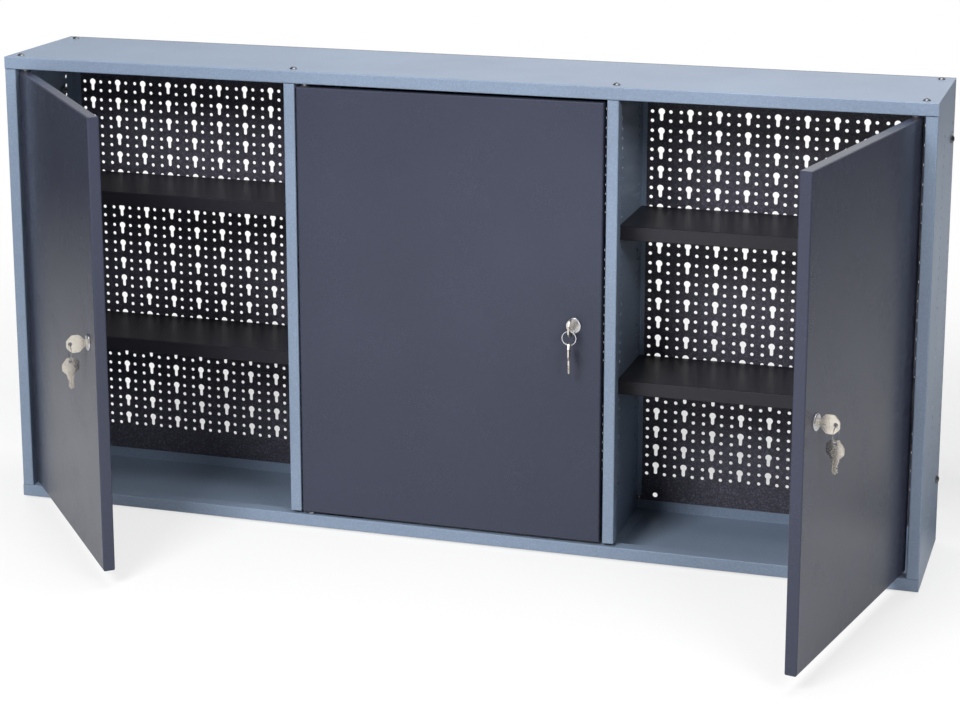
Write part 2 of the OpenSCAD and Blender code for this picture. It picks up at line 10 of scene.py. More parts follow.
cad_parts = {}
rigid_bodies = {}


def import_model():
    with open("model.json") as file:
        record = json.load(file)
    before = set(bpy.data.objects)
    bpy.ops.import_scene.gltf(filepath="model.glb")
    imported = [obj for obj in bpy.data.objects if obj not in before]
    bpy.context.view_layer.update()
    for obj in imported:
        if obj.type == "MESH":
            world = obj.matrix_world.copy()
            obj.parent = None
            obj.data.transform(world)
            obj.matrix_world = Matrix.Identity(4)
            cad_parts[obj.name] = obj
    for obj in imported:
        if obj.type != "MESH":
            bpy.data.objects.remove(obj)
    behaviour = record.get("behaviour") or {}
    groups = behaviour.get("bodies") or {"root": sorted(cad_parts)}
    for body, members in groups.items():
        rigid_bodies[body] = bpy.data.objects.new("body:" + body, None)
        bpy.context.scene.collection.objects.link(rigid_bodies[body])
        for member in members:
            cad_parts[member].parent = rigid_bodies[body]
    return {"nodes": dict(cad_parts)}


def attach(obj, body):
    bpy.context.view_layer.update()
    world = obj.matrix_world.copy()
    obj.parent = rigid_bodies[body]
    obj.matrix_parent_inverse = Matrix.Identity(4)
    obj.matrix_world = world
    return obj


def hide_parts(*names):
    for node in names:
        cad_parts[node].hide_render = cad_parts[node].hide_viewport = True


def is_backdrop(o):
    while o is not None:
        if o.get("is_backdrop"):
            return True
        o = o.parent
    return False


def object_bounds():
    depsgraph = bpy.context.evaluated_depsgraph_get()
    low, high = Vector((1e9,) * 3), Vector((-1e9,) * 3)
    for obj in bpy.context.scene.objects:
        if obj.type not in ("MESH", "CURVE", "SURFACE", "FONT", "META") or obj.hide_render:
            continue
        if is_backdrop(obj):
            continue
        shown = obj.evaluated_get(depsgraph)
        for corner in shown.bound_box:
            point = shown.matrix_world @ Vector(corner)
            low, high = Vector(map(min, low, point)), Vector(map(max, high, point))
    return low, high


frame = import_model()
cad_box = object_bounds()

MM = 0.001
SIDES = ("left", "middle", "right")

# Camera, fitted to the photograph's corners with the lens shift held
CAMERA_PLACE = Vector((0.8740, -2.8988, 0.7698))
CAMERA_TURN = 0.2966
CAMERA_TILT = 0.2220
CAMERA_LENS = 88.1
CAMERA_SHIFT = -0.15

# Colours as they look in daylight, red, green and blue from 0 to 255
BLUE_GREY = (108, 122, 141)
ANTHRACITE = (50, 53, 67)
WALL_GREY = (60, 59, 68)
SHELF_GREY = (34, 33, 39)
ZINC = (168, 170, 172)
CHROME = (198, 198, 201)
NICKEL = (214, 207, 196)
SCREW_GREY = (112, 113, 117)
NYLON = (52, 52, 56)
RUBBER = (26, 26, 28)

# Studio, as linear colours, and the floor's reach in metres
WHITE = (1.0, 1.0, 1.0, 1.0)
FLOOR_GREY = (0.66, 0.66, 0.66, 1.0)
ROOM_BLUE = (0.95, 0.97, 1.0, 1.0)
ROOM_LIGHT = 0.18
FLOOR_REACH = 14.0

# Softboxes, in metres and watts: place, width, height, power, and whether gloss shows them
LAMPS_AIM = Vector((0.0, -0.1, 0.0))
SOFTBOXES = {
    "left front softbox": (Vector((-0.5, -2.7, 1.7)), 1.0, 1.0, 106, False),
    "right front softbox": (Vector((2.2, -2.4, 1.7)), 1.2, 1.0, 62, False),
    "top softbox": (Vector((0.3, -0.2, 2.5)), 2.2, 1.2, 40, True),
    "right rear softbox": (Vector((1.5, 2.9, 1.4)), 1.4, 1.2, 50, False),
    "left rear softbox": (Vector((-2.4, 2.3, 1.4)), 1.4, 1.2, 55, False),
}

# Doors, in millimetres: the hinge axis, the door's width from it to the free edge, and how far it stands open
HINGE_Y = -182.75
DOORS = {"left": (-573.0, 357.0, 50), "middle": (-185.5, 387.5, 0), "right": (573.0, 348.5, 78)}
DOOR_T = 14.5
DOOR_H = 560.0
DOOR_HINGE_EDGE = 10.0
SHEET = 1.0
LOCK_IN = 35.0

# Screws and bolts, in millimetres: head width, head height, shank width, length under the head, thread pitch
FRAME_SCREW = (9.4, 2.6, 4, 8, 0.7)
SIDE_BOLT = (11, 4.5, 6, 9, 1.0)
CAM_SCREW = (8, 2.2, 3.5, 3.5, 0.6)
# Nuts, in millimetres: width across the flats, height, bore, thread pitch
SIDE_NUT = (10, 5, 6.1, 1.0)
LOCK_NUT = (20, 4, 16.1, 1.0)
THREAD_DEPTH = 0.3
CAM_SCREW_IN = 18.5

# How wide the edges of solid pieces are eased, in millimetres, and above which angle, in degrees
CLIP_EASE = 0.3
PIN_EASE = 0.3
BUSH_EASE = 0.25
CAM_EASE = 0.25
CORE_EASE = 0.15
KEY_EASE = 0.15
EASED_ABOVE = 35
SHARP_ABOVE = 50

# Spot welds on a door's stiffener, in millimetres
WELD_ROWS = 9
WELD_ASIDE = 15
WELD_END = 56

# Keys and rings: distances in front of the door face and below the lock, in millimetres
KEY_HOLE_OUT = 22.5
RING_DROP = 10.4
SPARE_DROP = 20.7
SPARE_TURN = 10
BOW_CENTRE = 6.5
BLADE_AT = 20.5
BLADE_L = 14.5

# Cuts in a key: half the steel left in a groove and in the sunk round of the bow, in millimetres
GROOVE_LEFT = 0.62
GROOVE_SPAN = (0.5, 1.7)
ROUND_LEFT = 0.78
ROUND_R = 4.4
ROUND_ASIDE = 4.2
CUT_OUT = 1.6

# Wires, in millimetres: radius, windings, pitch, width, height, and the sides of their section
RING_WIRE = (8.8, 1.9, 0.46, 1.36, 0.42, 12)
RIDGE_WIRE = (7.62, 14, 1.0, 0.72, 0.86, 4)
RIDGE_FROM = 1.5


def linear(colour):
    """A 0 to 255 display colour as the linear colour that a shader takes."""
    parts = [c / 255 for c in colour]
    return tuple(p / 12.92 if p <= 0.04045 else ((p + 0.055) / 1.055) ** 2.4 for p in parts) + (1.0,)


def shaded(colour, scale, lift=0):
    """A display colour made paler or darker, as a linear colour."""
    return linear([min(255, c * scale + lift) for c in colour])


class Value:
    """A node's output that takes part in sums: each operator adds a Math node to its tree."""

    def __init__(self, tree, socket):
        self.tree = tree
        self.socket = socket

    def math(self, operation, *terms):
        node = self.tree.nodes.new("ShaderNodeMath")
        node.operation = operation
        for entry, term in zip(node.inputs, terms):
            connect(self.tree, entry, term)
        return Value(self.tree, node.outputs[0])

    def __add__(self, other):
        return self.math("ADD", self, other)

    def __radd__(self, other):
        return self.math("ADD", other, self)

    def __sub__(self, other):
        return self.math("SUBTRACT", self, other)

    def __rsub__(self, other):
        return self.math("SUBTRACT", other, self)

    def __mul__(self, other):
        return self.math("MULTIPLY", self, other)

    def __rmul__(self, other):
        return self.math("MULTIPLY", other, self)

    def __truediv__(self, other):
        return self.math("DIVIDE", self, other)

    def __rtruediv__(self, other):
        return self.math("DIVIDE", other, self)

    def clipped(self):
        return self.math("MINIMUM", self.math("MAXIMUM", self, 0.0), 1.0)

    def band(self, low, high):
        """0 below low, 1 above high, and a straight rise between."""
        return ((self - low) / (high - low)).clipped()


def connect(tree, entry, term):
    """Gives a socket its value, or links it to another node's output."""
    if isinstance(term, Value):
        tree.links.new(term.socket, entry)
    else:
        entry.default_value = term


class Tree:
    """Adds nodes to a node tree."""

    def __init__(self, tree):
        self.tree = tree
        tree.nodes.clear()

    def add(self, kind, settings=None, inputs=None, output=0):
        """Adds a node: its settings first, then its sockets, by name or number."""
        node = self.tree.nodes.new(kind)
        for name, value in (settings or {}).items():
            setattr(node, name, value)
        for name, term in (inputs or {}).items():
            if isinstance(name, int):
                entry = node.inputs[name]
            else:
                entry = next(s for s in node.inputs if s.name == name and s.enabled)
            connect(self.tree, entry, term)
        if not node.outputs:
            return None
        if isinstance(output, int):
            return Value(self.tree, node.outputs[output])
        return Value(self.tree, next(s for s in node.outputs if s.name == output and s.enabled))

    def noise(self, place, scale, detail=2.0, roughness=0.5):
        return self.add(
            "ShaderNodeTexNoise",
            inputs={"Vector": place, "Scale": scale, "Detail": detail, "Roughness": roughness},
        )

    def mix(self, factor, first, second):
        """Goes from one colour to another."""
        return self.add("ShaderNodeMix", {"data_type": "RGBA"}, {0: factor, 6: first, 7: second}, output=2)

    def bump(self, height, distance):
        return self.add("ShaderNodeBump", inputs={"Height": height, "Distance": distance, "Strength": 1.0})

    def axes(self, vector, count):
        """The first few of a vector's x, y and z."""
        split = self.tree.nodes.new("ShaderNodeSeparateXYZ")
        self.tree.links.new(vector.socket, split.inputs[0])
        return [Value(self.tree, output) for output in split.outputs[:count]]

    def blend(self, factor, first, second):
        """Goes from one shader to another."""
        return self.add("ShaderNodeMixShader", inputs={0: factor, 1: first, 2: second})


def new_material(name):
    material = bpy.data.materials.new(name)
    material.use_nodes = True
    return material, Tree(material.node_tree)


def surface(tree, **sockets):
    """Ends a material's tree in one Principled shader; underscores stand for spaces."""
    inputs = {name.replace("_", " "): value for name, value in sockets.items()}
    shader = tree.add("ShaderNodeBsdfPrincipled", inputs=inputs)
    tree.add("ShaderNodeOutputMaterial", inputs={"Surface": shader})


def powder_paint(name, colour, pale, dark, grain, roughness, gloss, texture):
    """Powder coat: a fine skin with orange peel, faint clouds, and grains paler and darker than itself."""
    material, tree = new_material(name)
    place = tree.add("ShaderNodeTexCoord", output="Object")
    skin = tree.noise(place, 1 / grain, 2.0, 0.6)
    peel = tree.noise(place, 0.3 / grain, 1.0)
    cloud = tree.noise(place, 5.0, 2.0)
    smudge = tree.noise(place, 16.0, 3.0)
    specks = skin.band(0.53, 0.66)
    pits = 1 - skin.band(0.34, 0.47)
    body = tree.mix(cloud.band(0.3, 0.7), shaded(colour, 0.97), shaded(colour, 1.03))
    body = tree.mix(specks * pale, body, shaded(colour, 1.45, 22))
    body = tree.mix(pits * dark, body, shaded(colour, 0.55))
    surface(
        tree,
        Base_Color=body,
        Roughness=roughness + (smudge - 0.5) * 0.08 + (skin - 0.5) * 0.08,
        Specular_IOR_Level=gloss,
        Normal=tree.bump(skin * 0.5 + peel, texture * MM),
    )
    return material


def plated_metal(name, colour, roughness, grain, streak=(1, 1, 1), tarnish=0.25):
    """Plated metal: fine brushing or crystal grain, faint tarnish clouds and hairline scratches."""
    material, tree = new_material(name)
    place = tree.add("ShaderNodeTexCoord", output="Object")
    turned = tree.add("ShaderNodeMapping", inputs={"Vector": place, "Scale": streak})
    brushed = tree.noise(turned, 1 / grain, 4.0, 0.65)
    cloud = tree.noise(place, 160.0, 3.0)
    scratch = tree.noise(turned, 3.1 / grain, 2.0, 0.7).band(0.62, 0.7)
    shade = tree.mix(cloud.band(0.4, 0.75) * tarnish, linear(colour), shaded(colour, 0.72))
    surface(
        tree,
        Base_Color=shade,
        Metallic=1.0,
        Roughness=(roughness + (brushed - 0.5) * 0.22 + scratch * 0.12).clipped(),
        Normal=tree.bump(brushed + scratch * 0.5, 0.02 * MM),
    )
    return material


def moulded(name, colour, roughness, grain):
    """Nylon or rubber: a dull skin with a moulded grain and dusty patches."""
    material, tree = new_material(name)
    place = tree.add("ShaderNodeTexCoord", output="Object")
    skin = tree.noise(place, 1 / grain, 3.0)
    dust = tree.noise(place, 90.0, 3.0).band(0.5, 0.8)
    surface(
        tree,
        Base_Color=tree.mix(dust * 0.3, linear(colour), shaded(colour, 1.2, 16)),
        Roughness=roughness + (skin - 0.5) * 0.2,
        Normal=tree.bump(skin, 0.05 * MM),
    )
    return material


# Paints: colour, share of pale and of dark grains, grain size, roughness, gloss and depth of the skin in millimetres
FINISHES = {
    "frame_paint": powder_paint("frame paint", BLUE_GREY, 0.18, 0.2, 0.8 * MM, 0.38, 0.5, 0.05),
    "door_paint": powder_paint("door paint", ANTHRACITE, 0.08, 0.12, 0.7 * MM, 0.26, 0.24, 0.004),
    "wall_paint": powder_paint("wall paint", WALL_GREY, 0.5, 0.4, 1.8 * MM, 0.55, 0.3, 0.1),
    "shelf_paint": powder_paint("shelf paint", SHELF_GREY, 0.2, 0.3, 0.8 * MM, 0.42, 0.35, 0.05),
    "zinc_steel": plated_metal("zinc plate", ZINC, 0.36, 0.5 * MM),
    "lock_chrome": plated_metal("chrome plate", CHROME, 0.14, 0.25 * MM, tarnish=0.15),
    "screw_steel": plated_metal("screw plating", SCREW_GREY, 0.30, 0.3 * MM, tarnish=0.4),
    "key_nickel": plated_metal("nickel silver", NICKEL, 0.26, 0.22 * MM, (1, 1, 0.15), 0.3),
    "bush_plastic": moulded("black nylon", NYLON, 0.5, 0.6 * MM),
    "buffer_rubber": moulded("black rubber", RUBBER, 0.7, 0.4 * MM),
}
# Screws, with a duller finish than the chromed pieces
SLOT_OF = {"screw_steel": "lock_chrome"}
NODE_FINISH = {
    "panel": "frame_paint",
    "side": "frame_paint",
    "back_panel": "wall_paint",
    "shelf": "shelf_paint",
    "door_pan": "door_paint",
    "door_stiffener": "door_paint",
    "screws": "lock_chrome",
    "bolts": "lock_chrome",
    "lock_housing": "lock_chrome",
    "lock_core": "lock_chrome",
    "key_ring": "lock_chrome",
    "key": "key_nickel",
    "hinge_bushes": "bush_plastic",
    "buffers": "buffer_rubber",
}


def finish_of(node):
    """The material slot of a CAD node, from the longest word that its name ends in."""
    ends = [word for word in NODE_FINISH if node.endswith(word)]
    return NODE_FINISH[max(ends, key=len)] if ends else "zinc_steel"


def dress_frame():
    """Gives every CAD node its finish."""
    for name, node in frame["nodes"].items():
        node.data.materials.clear()
        node.data.materials.append(FINISHES[finish_of(name)])


def node_body(node):
    return frame["nodes"][node].parent.name.removeprefix("body:")


def merged(node):
    """A CAD node's shape as a closed bmesh with whole flat faces."""
    shape = bmesh.new()
    shape.from_mesh(frame["nodes"][node].data)
    bmesh.ops.remove_doubles(shape, verts=shape.verts, dist=0.002 * MM)
    bmesh.ops.dissolve_limit(shape, angle_limit=math.radians(0.3), verts=shape.verts, edges=shape.edges)
    return shape


def solids(node):
    """The lowest and highest corner of each separate solid of a CAD node."""
    shape = merged(node)
    waiting = set(shape.verts)
    boxes = []
    while waiting:
        edge_of_patch = [waiting.pop()]
        found = []
        while edge_of_patch:
            vert = edge_of_patch.pop()
            found.append(vert.co.copy())
            for edge in vert.link_edges:
                other = edge.other_vert(vert)
                if other in waiting:
                    waiting.remove(other)
                    edge_of_patch.append(other)
        boxes.append(tuple(Vector(pick(co[axis] for co in found) for axis in range(3)) for pick in (min, max)))
    shape.free()
    return sorted(boxes, key=lambda box: tuple(round(value, 5) for value in box[0]))


def as_mesh(shape):
    """A bmesh as a mesh; the bmesh is given up."""
    mesh = bpy.data.meshes.new("shape")
    shape.to_mesh(mesh)
    shape.free()
    return mesh


def smoothed(mesh, angle=32):
    """Rounds the shading over shallow angles and keeps the sharp edges."""
    mesh.shade_smooth()
    mesh.set_sharp_from_angle(angle=math.radians(angle))
    return mesh


def loose_object(name, mesh):
    piece = bpy.data.objects.new(name, mesh)
    bpy.context.scene.collection.objects.link(piece)
    return piece


def applied(piece):
    """The piece's mesh with its modifiers applied, as a new mesh."""
    bpy.context.view_layer.update()
    evaluated = piece.evaluated_get(bpy.context.evaluated_depsgraph_get())
    mesh = bpy.data.meshes.new_from_object(evaluated)
    piece.modifiers.clear()
    return mesh


def piece_of(name, mesh, slot, body, *nodes):
    """Puts a finished mesh into the scene: its finish, the body it rides on and the CAD nodes it stands for."""
    piece = loose_object(name, mesh)
    mesh.materials.clear()
    mesh.materials.append(FINISHES[slot])
    SLOT_OF.get(slot, slot)
    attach(piece, body)
    if nodes:
        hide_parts(*nodes)


def bevelled(mesh, width):
    """Eases a mesh's sharp edges and keeps its faces flat in the light."""
    piece = loose_object("easing", mesh)
    bevel = piece.modifiers.new("ease", "BEVEL")
    bevel.width = width * MM
    bevel.segments = 2
    bevel.limit_method = "ANGLE"
    bevel.angle_limit = math.radians(EASED_ABOVE)
    smoothed(mesh, SHARP_ABOVE)
    piece.modifiers.new("flat faces", "WEIGHTED_NORMAL").keep_sharp = True
    result = applied(piece)
    bpy.data.objects.remove(piece)
    return result


def carved(mesh, cutter, operation="DIFFERENCE"):
    """Cuts one closed mesh with another."""
    piece = loose_object("carving", mesh)
    tool = loose_object("cutter", cutter)
    modifier = piece.modifiers.new("cut", "BOOLEAN")
    modifier.operation = operation
    modifier.solver = "EXACT"
    modifier.use_self = True
    modifier.object = tool
    result = applied(piece)
    bpy.data.objects.remove(piece)
    bpy.data.objects.remove(tool)
    return result


def turned(profile, segments=32):
    """A mesh turned about z from (radius, height) points in millimetres; radius 0 closes it on the axis."""
    shape = bmesh.new()
    rings = []
    for radius, height in profile:
        count = segments if radius else 1
        angles = [math.tau * k / segments for k in range(count)]
        rings.append([shape.verts.new((radius * MM * math.cos(a), radius * MM * math.sin(a), height * MM))
                      for a in angles])
    pairs = list(zip(rings, rings[1:]))
    if profile[0][0]:
        pairs.append((rings[-1], rings[0]))
    for low, high in pairs:
        for k in range(segments):
            after = (k + 1) % segments
            corners = [low[k % len(low)], low[after % len(low)], high[after % len(high)], high[k % len(high)]]
            shape.faces.new(list(dict.fromkeys(corners)))
    bmesh.ops.recalc_face_normals(shape, faces=shape.faces)
    return as_mesh(shape)


def slab(low, high, taper=1.0):
    """A block in millimetres whose lower face is smaller by the taper."""
    shape = bmesh.new()
    corners = bmesh.ops.create_cube(shape, size=1.0)["verts"]
    middle = (Vector(low) + Vector(high)) / 2
    size = Vector(high) - Vector(low)
    for vert in corners:
        scale = taper if vert.co.z < 0 else 1.0
        vert.co = Vector((vert.co.x * size.x * scale, vert.co.y * size.y * scale, vert.co.z * size.z)) + middle
        vert.co *= MM
    return as_mesh(shape)


def threaded(outer, inner, pitch, start, end):
    """Profile points of a screw thread's ridges, from start to end."""
    turns = int(abs(end - start) / pitch)
    step = (end - start) / turns
    points = []
    for k in range(turns):
        points += [(inner, start + k * step), (outer, start + (k + 0.5) * step)]
    return points + [(inner, end)]


def domed_screw(head, head_h, shank, length, pitch):
    """A screw that points down, with a domed head and the underside of the head at the origin."""
    edge = 0.12 * head_h
    dome_h = head_h - edge
    dome = (head * head / 4 + dome_h * dome_h) / (2 * dome_h)
    reach = math.asin(head / 2 / dome)
    steps = 8
    arc = [(dome * math.sin(reach * k / steps), head_h - dome + dome * math.cos(reach * k / steps))
           for k in range(steps + 1)]
    return turned(arc + [(head / 2, edge * 0.5), (head / 2 - 0.3, 0)]
                  + threaded(shank / 2, shank / 2 - THREAD_DEPTH, pitch, -0.2, 0.6 - length)
                  + [(shank / 2 - 0.8, -length), (0, -length)])


def cross_screw(head, head_h, shank, length, pitch):
    """A domed screw with a cross recess for a driver."""
    screw = domed_screw(head, head_h, shank, length, pitch)
    arm, width = 0.56 * head, 0.13 * head
    for size in ((arm, width), (width, arm)):
        low = (-size[0] / 2, -size[1] / 2, 0.3 * head_h)
        screw = carved(screw, slab(low, (size[0] / 2, size[1] / 2, head_h + 0.5), 0.45))
    return smoothed(screw)


def socket_bolt(head, head_h, shank, length, pitch):
    """A domed bolt with a hexagon socket."""
    bolt = domed_screw(head, head_h, shank, length, pitch)
    width = 0.22 * head
    socket = turned([(0, head_h + 1), (width, head_h + 1), (width, 0.45 * head_h), (0, 0.3 * head_h)], 6)
    return smoothed(carved(bolt, socket))


def hexagon_nut(across, height, bore, pitch):
    """A nut from the origin upwards, its corners chamfered and its bore threaded."""
    corner = across / math.sqrt(3)
    chamfer = 0.5 * (corner - across / 2) + 0.2
    flat = across / 2 - 0.2
    nut = turned([(0, 0), (corner, 0), (corner, height), (0, height)], 6)
    rounding = turned([(0, 0), (flat, 0), (corner, chamfer), (corner, height - chamfer), (flat, height),
                       (0, height)], 48)
    nut = carved(nut, rounding, "INTERSECT")
    thread = [(0, -1)] + threaded(bore / 2, bore / 2 + 0.25, pitch, -1, height + 1) + [(0, height + 1)]
    return smoothed(carved(nut, turned(thread)))


def node_group(name, sizes):
    """An empty geometry tree with a named input for each size, and its input and output as values."""
    group = bpy.data.node_groups.new(name, "GeometryNodeTree")
    tree = Tree(group)
    group.interface.new_socket("Geometry", in_out="INPUT", socket_type="NodeSocketGeometry")
    for size, kind in sizes.items():
        group.interface.new_socket(size, in_out="INPUT", socket_type="NodeSocket" + kind)
    group.interface.new_socket("Geometry", in_out="OUTPUT", socket_type="NodeSocketGeometry")
    source = group.nodes.new("NodeGroupInput")
    return group, tree, {socket.name: Value(group, socket) for socket in source.outputs if socket.name}


def end_group(tree, geometry, material):
    """Makes the copies real, gives them their finish and ends the tree."""
    real = tree.add("GeometryNodeRealizeInstances", inputs={"Geometry": geometry})
    painted = tree.add("GeometryNodeSetMaterial", inputs={"Geometry": real, "Material": material})
    tree.add("NodeGroupOutput", inputs={"Geometry": painted})


def copies_group():
    """Sets a piece on every point, with its z along the point's aim and a random turn about it."""
    sizes = {"Piece": "Object", "Turn spread": "Float", "Seed": "Int", "Finish": "Material"}
    group, tree, given = node_group("set out copies", sizes)
    aim = tree.add("GeometryNodeInputNamedAttribute", {"data_type": "FLOAT_VECTOR"}, {"Name": "aim"})
    upright = tree.add("FunctionNodeAlignRotationToVector", {"axis": "Z"}, {"Vector": aim})
    turn = tree.add("FunctionNodeRandomValue", {"data_type": "FLOAT"},
                    {"Min": given["Turn spread"] * -1, "Max": given["Turn spread"], "Seed": given["Seed"]},
                    output="Value")
    about = tree.add("ShaderNodeCombineXYZ", inputs={"Z": turn})
    roll = tree.add("FunctionNodeEulerToRotation", inputs={"Euler": about})
    rotation = tree.add("FunctionNodeRotateRotation", {"rotation_space": "LOCAL"},
                        {"Rotation": upright, "Rotate By": roll})
    shape = tree.add("GeometryNodeObjectInfo", inputs={"Object": given["Piece"], "As Instance": True},
                     output="Geometry")
    copies = tree.add("GeometryNodeInstanceOnPoints",
                      inputs={"Points": given["Geometry"], "Instance": shape, "Rotation": rotation})
    end_group(tree, copies, given["Finish"])
    return group


def winding_group():
    """Winds a wire about z at a steady pitch: a split ring, or the ridge of a thread."""
    sizes = {"Radius": "Float", "Windings": "Float", "Pitch": "Float", "Wire width": "Float",
             "Wire height": "Float", "Sides": "Int", "Finish": "Material"}
    group, tree, given = node_group("winding", sizes)
    path = tree.add("GeometryNodeCurveSpiral", inputs={
        "Resolution": 48, "Rotations": given["Windings"], "Start Radius": given["Radius"],
        "End Radius": given["Radius"], "Height": given["Windings"] * given["Pitch"]})
    level = tree.add("GeometryNodeSetCurveNormal", {"mode": "Z_UP"}, {"Curve": path})
    circle = tree.add("GeometryNodeCurvePrimitiveCircle", inputs={"Resolution": given["Sides"], "Radius": 0.5})
    size = tree.add("ShaderNodeCombineXYZ", inputs={"X": given["Wire width"], "Y": given["Wire height"], "Z": 1.0})
    section = tree.add("GeometryNodeTransform", inputs={"Geometry": circle, "Scale": size})
    wire = tree.add("GeometryNodeCurveToMesh",
                    inputs={"Curve": level, "Profile Curve": section, "Fill Caps": True})
    end_group(tree, wire, given["Finish"])
    return group


def grown(group, start, values):
    """Runs a geometry tree on a start mesh and returns the result as a plain mesh."""
    piece = loose_object("growing", start)
    modifier = piece.modifiers.new("nodes", "NODES")
    modifier.node_group = group
    for item in group.interface.items_tree:
        if item.in_out == "INPUT" and item.name in values:
            modifier[item.identifier] = values[item.name]
    mesh = applied(piece)
    bpy.data.objects.remove(piece)
    return mesh


set_out_copies = copies_group()
winding = winding_group()


def copies(shape, places, slot, spread=0.0, seed=1):
    """One mesh of a shape at every (point, aim) place."""
    master = loose_object("master", shape)
    points = bpy.data.meshes.new("places")
    points.from_pydata([tuple(point) for point, aim in places], [], [])
    aims = points.attributes.new("aim", "FLOAT_VECTOR", "POINT")
    aims.data.foreach_set("vector", [value for point, aim in places for value in aim])
    mesh = grown(set_out_copies, points,
                 {"Piece": master, "Turn spread": spread, "Seed": seed, "Finish": FINISHES[slot]})
    bpy.data.objects.remove(master)
    if "aim" in mesh.attributes:
        mesh.attributes.remove(mesh.attributes["aim"])
    return mesh


def set_out(node, ending, shape, places, slot, seed):
    """Stands copies of a fastener, each turned at random about its axis, in a frame node's place."""
    piece_of(node + ending, copies(shape, places, slot, math.pi, seed), slot, "cabinet", node)


def wound(radius, windings, pitch, width, height, sides, slot):
    """A wire wound about z from the origin, in millimetres."""
    values = {"Radius": radius * MM, "Windings": windings, "Pitch": pitch * MM, "Wire width": width * MM,
              "Wire height": height * MM, "Sides": sides, "Finish": FINISHES[slot]}
    return smoothed(grown(winding, bpy.data.meshes.new("start"), values), 60)


def moved(mesh, place):
    mesh.transform(place)
    return mesh


def joined(first, second):
    """Two meshes as one."""
    shape = bmesh.new()
    shape.from_mesh(first)
    shape.from_mesh(second)
    return as_mesh(shape)


def shift(x, y, z):
    return Matrix.Translation((x * MM, y * MM, z * MM))


def door_place(side):
    """The frame of a door: x from the hinge axis to the free edge, y to the back from the face, z up."""
    hinge_x, reach, angle = DOORS[side]
    flip = Matrix.Scale(-1 if side == "right" else 1, 4, (1, 0, 0))
    opened = Matrix.Rotation(math.radians(-angle), 4, "Z")
    return shift(hinge_x, HINGE_Y, 0) @ flip @ opened @ shift(0, -DOOR_T / 2, 0)


def lock_place(side):
    """The frame of a lock: the door's, with the origin on its face at the lock's axis."""
    return door_place(side) @ shift(DOORS[side][1] - LOCK_IN, 0, 0)


def set_in(mesh, place):
    """Moves a mesh to its place; a mirrored place turns its faces out again."""
    mesh.transform(place)
    if place.determinant() < 0:
        mesh.flip_normals()
    return mesh


# Turns a piece's z to the door's back, and a flat key's thickness to the side
BACKWARDS = Matrix.Rotation(math.radians(-90), 4, "X")
EDGEWISE = Matrix(((0, 0, 1, 0), (1, 0, 0, 0), (0, 1, 0, 0), (0, 0, 0, 1)))


def eased(node, width):
    """Stands a copy of a CAD node with its sharp edges eased in the node's place."""
    mesh = bevelled(as_mesh(merged(node)), width)
    piece_of(node + "_eased", mesh, finish_of(node), node_body(node), node)


def frame_fasteners():
    """The screws, bolts and nuts that hold the frame together."""
    screw = cross_screw(*FRAME_SCREW)
    for node, aim, seed in (("top_screws", Vector((0, 0, 1)), 3), ("bottom_screws", Vector((0, 0, -1)), 8)):
        places = []
        for low, high in solids(node):
            centre = (low + high) / 2
            outer = high.z if aim.z > 0 else low.z
            places.append((Vector((centre.x, centre.y, outer - aim.z * FRAME_SCREW[1] * MM)), aim))
        set_out(node, "_crossed", screw, places, "screw_steel", seed)
    for node, ending, shape, slot, seed in (
            ("side_bolts", "_socketed", socket_bolt(*SIDE_BOLT), "screw_steel", 5),
            ("side_nuts", "_chamfered", hexagon_nut(*SIDE_NUT), "zinc_steel", 6)):
        places = []
        for low, high in solids(node):
            centre = (low + high) / 2
            aim = Vector((math.copysign(1, centre.x), 0, 0))
            inner, outer = (low.x, high.x) if aim.x > 0 else (high.x, low.x)
            x = outer - aim.x * SIDE_BOLT[1] * MM if node == "side_bolts" else inner
            places.append((Vector((x, centre.y, centre.z)), aim))
        set_out(node, ending, shape, places, slot, seed)


def buffers():
    """Rubber buffers on the door stops, dished in front."""
    buffer = smoothed(turned([(0, 0), (4.5, 0), (4.5, 1.5), (4.3, 2.0), (3.8, 2.2), (1.9, 2.2), (1.4, 1.8),
                              (0, 1.7)]))
    places = [(Vector(((low.x + high.x) / 2, high.y, (low.z + high.z) / 2)), (0, -1, 0))
              for low, high in solids("door_buffers")]
    piece_of("door_buffers_dished", copies(buffer, places, "buffer_rubber"), "buffer_rubber", "cabinet",
             "door_buffers")


def spot_welds(side):
    """Two columns of spot welds on the flanges of a door's stiffener."""
    weld = smoothed(turned([(0, 0.02), (1.7, 0.02), (2.2, 0.16), (2.7, 0.16), (3.1, 0.0), (3.1, -0.05),
                            (0, -0.05)], 20))
    hat_middle = (DOORS[side][1] - DOOR_HINGE_EDGE) / 2
    span = DOOR_H / 2 - WELD_END
    door = door_place(side)
    aim = door.to_3x3() @ Vector((0, 1, 0))
    places = [(door @ (Vector((x, 2 * SHEET, -span + 2 * span * row / (WELD_ROWS - 1))) * MM), aim)
              for x in (hat_middle - WELD_ASIDE, hat_middle + WELD_ASIDE) for row in range(WELD_ROWS)]
    piece_of(side + "_spot_welds", copies(weld, places, "door_paint"), "door_paint", side + "_door")


